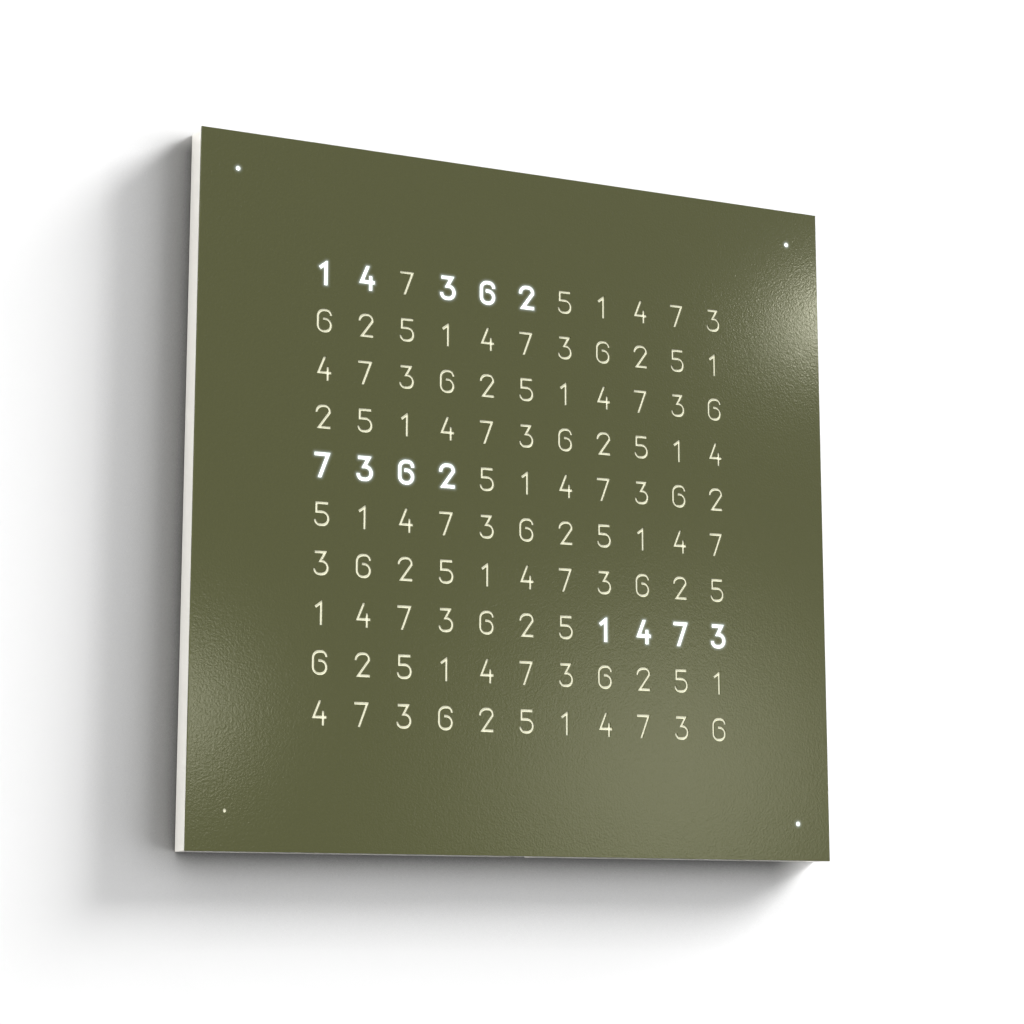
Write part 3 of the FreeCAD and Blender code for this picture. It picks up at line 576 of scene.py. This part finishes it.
# %% Make the seven tools
digit_tools = {}
for digit, lines in DIGIT_LINES.items():
    tool, *others = [trim_tool(stroke_tool(line)) for line in lines]
    for other in others:
        combine(tool, other, "UNION")
        bpy.data.objects.remove(other)
    edit_picked(tool, "faces", everything)
    bpy.ops.mesh.normals_make_consistent(inside=False)
    to_object_mode()
    tool.name = f"tool_{digit}"
    digit_tools[digit] = tool
    print("digit", digit, len(tool.data.polygons), "faces,", open_edges(tool), "open edges")

# %% [markdown]
# ## The grid
#
# Eleven columns and ten rows hold the digits. A short rule picks the digit of each cell, so that
# neighbours differ and nothing can be read in it. Thirteen cells are lit, as in the photograph.
# The four minute holes sit at the corners of the face.

# %% The places on the grid
COLUMN_PITCH = 0.02825
ROW_PITCH = 0.03103
COLUMNS = 11
ROWS = 10
LIT_CELLS = {(0, 0), (1, 0), (3, 0), (4, 0), (5, 0), (0, 4), (1, 4), (2, 4), (3, 4),
             (7, 7), (8, 7), (9, 7), (10, 7)}
DOT_PLACE = 0.2006
DOT_RADIUS = 0.0012
DOTS = {1: (-1, 1), 2: (1, 1), 3: (1, -1), 4: (-1, -1)}
LIT_DOTS = {1, 2, 3}


def column_place(column):
    return (column - 5) * COLUMN_PITCH


def row_place(row):
    return (4.5 - row) * ROW_PITCH


def cell_centre(column, row):
    return Vector((column_place(column), 0, row_place(row)))


def grid_digit(column, row):
    return (3 * column + 5 * row) % 7 + 1


for row in range(ROWS):
    print(*[grid_digit(column, row) for column in range(COLUMNS)])

# %% Lay the tools out on the grid
def copy_tool(tool, centre):
    copy = tool.copy()
    copy.data = tool.data.copy()
    copy.location = centre
    bpy.context.scene.collection.objects.link(copy)
    return copy


cutters = {True: [], False: []}
for column in range(COLUMNS):
    for row in range(ROWS):
        copy = copy_tool(digit_tools[grid_digit(column, row)], cell_centre(column, row))
        cutters[(column, row) in LIT_CELLS].append(copy)
for number, (x, z) in DOTS.items():
    bpy.ops.mesh.primitive_cylinder_add(
        vertices=20, radius=DOT_RADIUS, depth=CUT_DEEP, rotation=(math.radians(90), 0, 0),
        location=(x * DOT_PLACE, CUT_REAR - CUT_DEEP / 2, z * DOT_PLACE),
    )
    cutters[number in LIT_DOTS].append(bpy.context.object)
lit_cutter = settle(join_pieces(cutters[True], "lit_cutter"))
unlit_cutter = settle(join_pieces(cutters[False], "unlit_cutter"))
for tool in digit_tools.values():
    bpy.data.objects.remove(tool)
print(len(lit_cutter.data.polygons), "and", len(unlit_cutter.data.polygons), "faces in the cutters")

# %% [markdown]
# ## The steel cover
#
# The real cover is a laser-cut steel sheet, powder coated in olive. The sheet is a cube made
# flat, whose front face is divided along the grid, and finely around each lit digit, because
# each corner of a face keeps its distance to the nearest lit edge: the coat uses it for a painted
# glow around a lit digit. Then the cutters go through it at once.

# %% Divide the front of the sheet
ACROSS = (1, 0, 0)
UP = (0, 0, 1)
DOT_ROOM = 0.007

cover = add_sheet(
    "steel_cover", (0, (FACE + COVER_REAR) / 2, 0), (CLOCK_SIDE, COVER_REAR - FACE, CLOCK_SIDE)
)
for edge in (
    -DOT_PLACE - DOT_ROOM, -DOT_PLACE + DOT_ROOM, DOT_PLACE - DOT_ROOM, DOT_PLACE + DOT_ROOM
):
    divide_front(cover, (edge, 0, 0), ACROSS)
    divide_front(cover, (0, 0, edge), UP)
for column in range(COLUMNS + 1):
    divide_front(cover, ((column - 5.5) * COLUMN_PITCH, 0, 0), ACROSS)
for row in range(ROWS + 1):
    divide_front(cover, (0, 0, (row - 5) * ROW_PITCH), UP)
print(len(cover.data.polygons), "faces after dividing")

# %% Divide the lit cells finely
CELL_MARGIN = 0.0015
CELL_CUTS = 31
DOT_CUTS = 19
NEAR = 0.002

lit_centres = [cell_centre(*cell) for cell in LIT_CELLS]
dot_centres = [Vector((x, 0, z)) * DOT_PLACE for n, (x, z) in DOTS.items() if n in LIT_DOTS]


def is_near(places):
    """Picks the front faces whose middle is at one of the places."""
    def wanted(centre, normal):
        flat = Vector((centre.x, 0, centre.z))
        return is_front(centre, normal) and any((flat - place).length < NEAR for place in places)
    return wanted


picked = edit_picked(cover, "faces", is_near(lit_centres))
bpy.ops.mesh.inset(thickness=CELL_MARGIN, use_individual=True)
bpy.ops.mesh.subdivide(number_cuts=CELL_CUTS)
to_object_mode()
picked += edit_picked(cover, "faces", is_near(dot_centres))
bpy.ops.mesh.subdivide(number_cuts=DOT_CUTS)
to_object_mode()
print(picked, "places divided into", len(cover.data.polygons), "faces")

# %% Cut the digits and round the edges
lit_edges = BVHTree.FromObject(lit_cutter, bpy.context.evaluated_depsgraph_get())
for cutter in (lit_cutter, unlit_cutter):
    combine(cover, cutter, "DIFFERENCE")
for cutter in (lit_cutter, unlit_cutter):
    bpy.data.objects.remove(cutter)
print(len(cover.data.polygons), "faces after cutting")
round_outline(cover, FACE, 0.00025)

# %% [markdown]
# The distance is kept in millimetres. It belongs to the corners of the faces and not to the
# vertices, because a vertex is shared: the walls of a lit cut get the full painted glow, the
# front fades, and the rear gets none.

# %% Keep the distance to the lit edges
FAR = 6.0
PAINTED_GLOW_REACH = 3


def lit_distance(place):
    found = lit_edges.find_nearest(place, FAR * MM)
    return found[3] / MM if found[0] else FAR


distances = []
for face in cover.data.polygons:
    if face.normal.y > 0.9:
        distances += [FAR] * face.loop_total
    elif is_front(face.center, face.normal):
        distances += [lit_distance(cover.data.vertices[i].co) for i in face.vertices]
    else:
        distances += [lit_distance(face.center)] * face.loop_total
kept = cover.data.attributes.new("lit_edge_distance", "FLOAT", "CORNER")
kept.data.foreach_set("value", distances)
print(sum(1 for d in distances if d < PAINTED_GLOW_REACH), "corners near a lit edge")

# %% [markdown]
# ## The powder coat
#
# Powder coating melts into a skin with a fine, even texture. Around a lit digit the coat has a
# painted glow: a bright rim that fades within half a millimetre, and a faint veil around it.

# %% Mix the olive powder coat
OLIVE = (0.0755, 0.0800, 0.0215)

coat_with_painted_glow = new_finish("olive_powder_coat_with_painted_glow", specular=0.4)
colour(coat_with_painted_glow, grain(coat_with_painted_glow, 0.0006, detail=3), tint(OLIVE, 0.95), tint(OLIVE, 1.05))
uneven_gloss(coat_with_painted_glow, grain(coat_with_painted_glow, 0.0009), 0.23, 0.29)
relief(coat_with_painted_glow, grain(coat_with_painted_glow, 0.0013, detail=3), 0.00019)

# %% Paint the glow of the lit digits onto the coat
PAINTED_RIM_GLOW = 1.15
RIM_FADE = 3.2
PAINTED_VEIL_GLOW = 0.13
PAINTED_GLOW_COLOUR = (0.9, 1.0, 1.02, 1)

# Painted glow: the coat emits light near a lit edge, which stands in for the lit digits' light.
distance = add_node(coat_with_painted_glow, "ShaderNodeAttribute", attribute_name="lit_edge_distance")
distance = distance.outputs["Fac"]
painted_rim = math_step(coat_with_painted_glow, "MULTIPLY", distance, -RIM_FADE)
painted_rim = math_step(coat_with_painted_glow, "EXPONENT", painted_rim)
painted_rim = math_step(coat_with_painted_glow, "MULTIPLY", painted_rim, PAINTED_RIM_GLOW)
painted_veil = math_step(coat_with_painted_glow, "MULTIPLY", distance, -1 / PAINTED_GLOW_REACH)
painted_veil = math_step(coat_with_painted_glow, "ADD", painted_veil, 1.0)
painted_veil = math_step(coat_with_painted_glow, "MAXIMUM", painted_veil, 0.0)
painted_veil = math_step(coat_with_painted_glow, "POWER", painted_veil, 2.0)
painted_veil = math_step(coat_with_painted_glow, "MULTIPLY", painted_veil, PAINTED_VEIL_GLOW)
painted_glow = math_step(coat_with_painted_glow, "ADD", painted_rim, painted_veil)
shader_of(coat_with_painted_glow).inputs["Emission Color"].default_value = PAINTED_GLOW_COLOUR
connect(coat_with_painted_glow, painted_glow, shader_of(coat_with_painted_glow).inputs["Emission Strength"])

cover.data.materials.append(coat_with_painted_glow)
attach(cover, "cover")
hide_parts("front_cover")
print(cover.name, "stands in for front_cover")

# %% [markdown]
# ## The opal sheet
#
# Behind the cover lies one opal sheet. It is cream with a faint painted glow where nothing shines
# behind it, and it glows evenly over a chamber whose light is on. The sheet is divided along the
# grid again, and the faces over the lit chambers get the glowing finish.

# %% Model the opal sheet
CHAMBER_ACROSS = 0.024
CHAMBER_UP = 0.027

low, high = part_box("diffuser_sheet")
opal_sheet = add_sheet("opal_sheet", (low + high) / 2, high - low)
for column in range(COLUMNS):
    for half in (-CHAMBER_ACROSS / 2, CHAMBER_ACROSS / 2):
        divide_front(opal_sheet, (column_place(column) + half, 0, 0), ACROSS)
for row in range(ROWS):
    for half in (-CHAMBER_UP / 2, CHAMBER_UP / 2):
        divide_front(opal_sheet, (0, 0, row_place(row) + half), UP)
print(len(opal_sheet.data.polygons), "faces on the sheet")

# %% The opal finishes
CREAM = (0.87, 0.86, 0.65)
LIT_WHITE = (0.93, 0.98, 1.0)
LIT_STRENGTH = 2.2

opal_with_painted_glow = new_finish("cream_opal_with_painted_glow", roughness=0.5, specular=0.3)
colour(opal_with_painted_glow, grain(opal_with_painted_glow, 0.004), tint(CREAM, 0.98), CREAM)
relief(opal_with_painted_glow, grain(opal_with_painted_glow, 0.0008), 0.00001, 0.4)
# Painted glow: the unlit cream sheet emits a little light of its own, which lifts it in the cuts.
emit(opal_with_painted_glow, CREAM, 0.5)

lit_opal = new_finish("lit_opal", roughness=0.5, specular=0.3)
colour(lit_opal, grain(lit_opal, 0.004), tint(CREAM, 0.98), CREAM)
emit(lit_opal, LIT_WHITE, LIT_STRENGTH)

opal_sheet.data.materials.append(opal_with_painted_glow)
opal_sheet.data.materials.append(lit_opal)
glows = is_near(lit_centres)
for face in opal_sheet.data.polygons:
    face.material_index = 1 if glows(face.center, face.normal) else 0
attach(opal_sheet, "clock")
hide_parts("diffuser_sheet")
print(sum(face.material_index for face in opal_sheet.data.polygons), "lit faces")

# %% [markdown]
# ## The lacquered body
#
# The body is a board with a warm off-white lacquer, whose edge shows beside the cover. Its solid
# has every pocket, so a copy of its mesh is used: its loose triangles are merged, flat faces are
# made one again, and only the outer edges get the small round that lacquer needs to cover them.
# The front edges stay sharp, because the cover lies on them.

# %% Mix the lacquer
LACQUER = (0.80, 0.78, 0.73)

lacquer = new_finish("off_white_lacquer")
colour(lacquer, grain(lacquer, 0.03, detail=4), tint(LACQUER, 0.985), tint(LACQUER, 1.01))
uneven_gloss(lacquer, grain(lacquer, 0.012), 0.3, 0.38)
relief(lacquer, grain(lacquer, 0.003), 0.000006)

# %% Model the body
body = bpy.data.objects.new("lacquered_body", nodes["body_panel"].data.copy())
bpy.context.scene.collection.objects.link(body)
body.data.materials.clear()
edit_picked(body, "faces", everything)
bpy.ops.mesh.remove_doubles(threshold=2e-6)
bpy.ops.mesh.dissolve_limited(angle_limit=math.radians(0.5))
to_object_mode()
round_outline(body, 0, 0.0003)
body.data.materials.append(lacquer)
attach(body, "clock")
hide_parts("body_panel")
print(body.name, "stands in for body_panel with", len(body.data.polygons), "faces")

# %% [markdown]
# ## The finishes inside and at the back
#
# Dark mouldings have the fine spark-eroded grain of their tool, metal parts are brushed, plated
# or zinc coated, and the boards are green with paler tracks. The lit guides in the corners glow.

# %% Plastic finishes
black_moulding = new_finish("black_moulding", roughness=0.5)
colour(black_moulding, grain(black_moulding, 0.002), (0.026, 0.026, 0.028), (0.034, 0.034, 0.036))
relief(black_moulding, grain(black_moulding, 0.0006), 0.00001)

rear_moulding = new_finish("grained_rear_moulding")
rear_grain = grain(rear_moulding, 0.004, detail=4)
colour(rear_moulding, rear_grain, (0.062, 0.062, 0.067), (0.080, 0.080, 0.085))
uneven_gloss(rear_moulding, grain(rear_moulding, 0.0012), 0.48, 0.62)
relief(rear_moulding, grain(rear_moulding, 0.0009, detail=3), 0.00003)

button_white = new_finish("button_white", roughness=0.3)
colour(button_white, grain(button_white, 0.004), (0.78, 0.77, 0.74), (0.81, 0.80, 0.77))
relief(button_white, grain(button_white, 0.0005), 0.000003)

white_film = new_finish("white_film", roughness=0.35)
colour(white_film, grain(white_film, 0.003), (0.82, 0.82, 0.80), (0.86, 0.86, 0.84))
relief(white_film, grain(white_film, 0.001), 0.000004)

foam = new_finish("foam_tape", roughness=0.9, specular=0.2)
colour(foam, grain(foam, 0.0005, detail=4), (0.48, 0.48, 0.46), (0.64, 0.64, 0.62))
relief(foam, grain(foam, 0.0005, detail=4), 0.00008)

chip_black = new_finish("chip_black", roughness=0.55)
colour(chip_black, grain(chip_black, 0.0003), (0.016, 0.016, 0.016), (0.026, 0.026, 0.026))
relief(chip_black, grain(chip_black, 0.0003), 0.000008)

# %% The ribbon, with a wave for its cores
# At a scale of 1 the wave of the texture is 0.314 long.
CORE_PITCH = 0.00127
WAVE_LENGTH = 0.314

ribbon = new_finish("ribbon_grey", roughness=0.45)
cores = add_node(ribbon, "ShaderNodeTexWave", bands_direction="X")
cores.inputs["Scale"].default_value = WAVE_LENGTH / CORE_PITCH
connect(ribbon, object_place(ribbon), cores.inputs["Vector"])
colour(ribbon, cores.outputs["Fac"], (0.24, 0.24, 0.26), (0.38, 0.38, 0.40), 0.1, 0.6)
relief(ribbon, cores.outputs["Fac"], 0.0002)

# %% Clear and glowing finishes
clear_guide = new_finish("clear_guide")
shader_of(clear_guide).inputs["Transmission Weight"].default_value = 1.0
colour(clear_guide, grain(clear_guide, 0.003), (0.90, 0.90, 0.88), (0.96, 0.96, 0.94))
uneven_gloss(clear_guide, grain(clear_guide, 0.001), 0.08, 0.16)

lit_guide = new_finish("lit_guide", roughness=0.3)
colour(lit_guide, grain(lit_guide, 0.002), (0.85, 0.87, 0.9), (0.9, 0.92, 0.95))
emit(lit_guide, LIT_WHITE, LIT_STRENGTH)

lamp_white = new_finish("lamp_white", roughness=0.4)
colour(lamp_white, grain(lamp_white, 0.001), (0.90, 0.88, 0.72), (0.93, 0.93, 0.88))

# %% The boards, with square cells for their tracks
TRACKS_PER_METRE = 220

board_green = new_finish("board_green", roughness=0.35)
tracks = add_node(board_green, "ShaderNodeTexVoronoi", feature="F1", distance="CHEBYCHEV")
tracks.inputs["Scale"].default_value = TRACKS_PER_METRE
connect(board_green, object_place(board_green), tracks.inputs["Vector"])
tracks = tracks.outputs["Distance"]
colour(board_green, tracks, (0.016, 0.095, 0.043), (0.030, 0.150, 0.070), 0.38, 0.46)
relief(board_green, tracks, 0.00002)

# %% Metal finishes
BRUSHED = (0.05, 1, 1)

bright_steel = new_finish("brushed_steel", metallic=1.0)
brushing = grain(bright_steel, 0.0004, stretch=BRUSHED)
colour(bright_steel, brushing, (0.54, 0.54, 0.54), (0.64, 0.64, 0.64))
uneven_gloss(bright_steel, brushing, 0.22, 0.4)

nickel = new_finish("nickel_plate", metallic=1.0)
colour(nickel, grain(nickel, 0.003), (0.63, 0.62, 0.59), (0.69, 0.68, 0.65))
uneven_gloss(nickel, grain(nickel, 0.002), 0.16, 0.28)

zinc = new_finish("zinc_plate", metallic=1.0)
colour(zinc, grain(zinc, 0.004, detail=4), (0.56, 0.57, 0.59), (0.66, 0.67, 0.68))
uneven_gloss(zinc, grain(zinc, 0.0015, detail=3), 0.28, 0.45)

# %% Give every node its finish
FINISHES = {
    "cover_coat": coat_with_painted_glow,
    "body_lacquer": lacquer,
    "opal_sheet": opal_with_painted_glow,
    "black_moulding": black_moulding,
    "rear_moulding": rear_moulding,
    "button_white": button_white,
    "clear_guide": clear_guide,
    "white_light": lamp_white,
    "white_film": white_film,
    "ribbon_grey": ribbon,
    "foam_tape": foam,
    "circuit_board": board_green,
    "chip_black": chip_black,
    "nickel": nickel,
    "bright_steel": bright_steel,
    "zinc_steel": zinc,
}
slots = {part["node"]: part["material_slot"] for part in frame["record"]["subparts"]}
for name, node in nodes.items():
    node.material_slots[0].material = FINISHES[slots[name]]
for number in DOTS:
    guide = nodes[f"minute_light_guide_{number}"]
    guide.material_slots[0].material = lit_guide if number in LIT_DOTS else opal_with_painted_glow
print(sorted(finish.name for finish in FINISHES.values()))

# %% [markdown]
# ## The end
#
# Last, the view transform is set to Standard.

# %% Set the view transform
bpy.context.scene.view_settings.view_transform = "Standard"
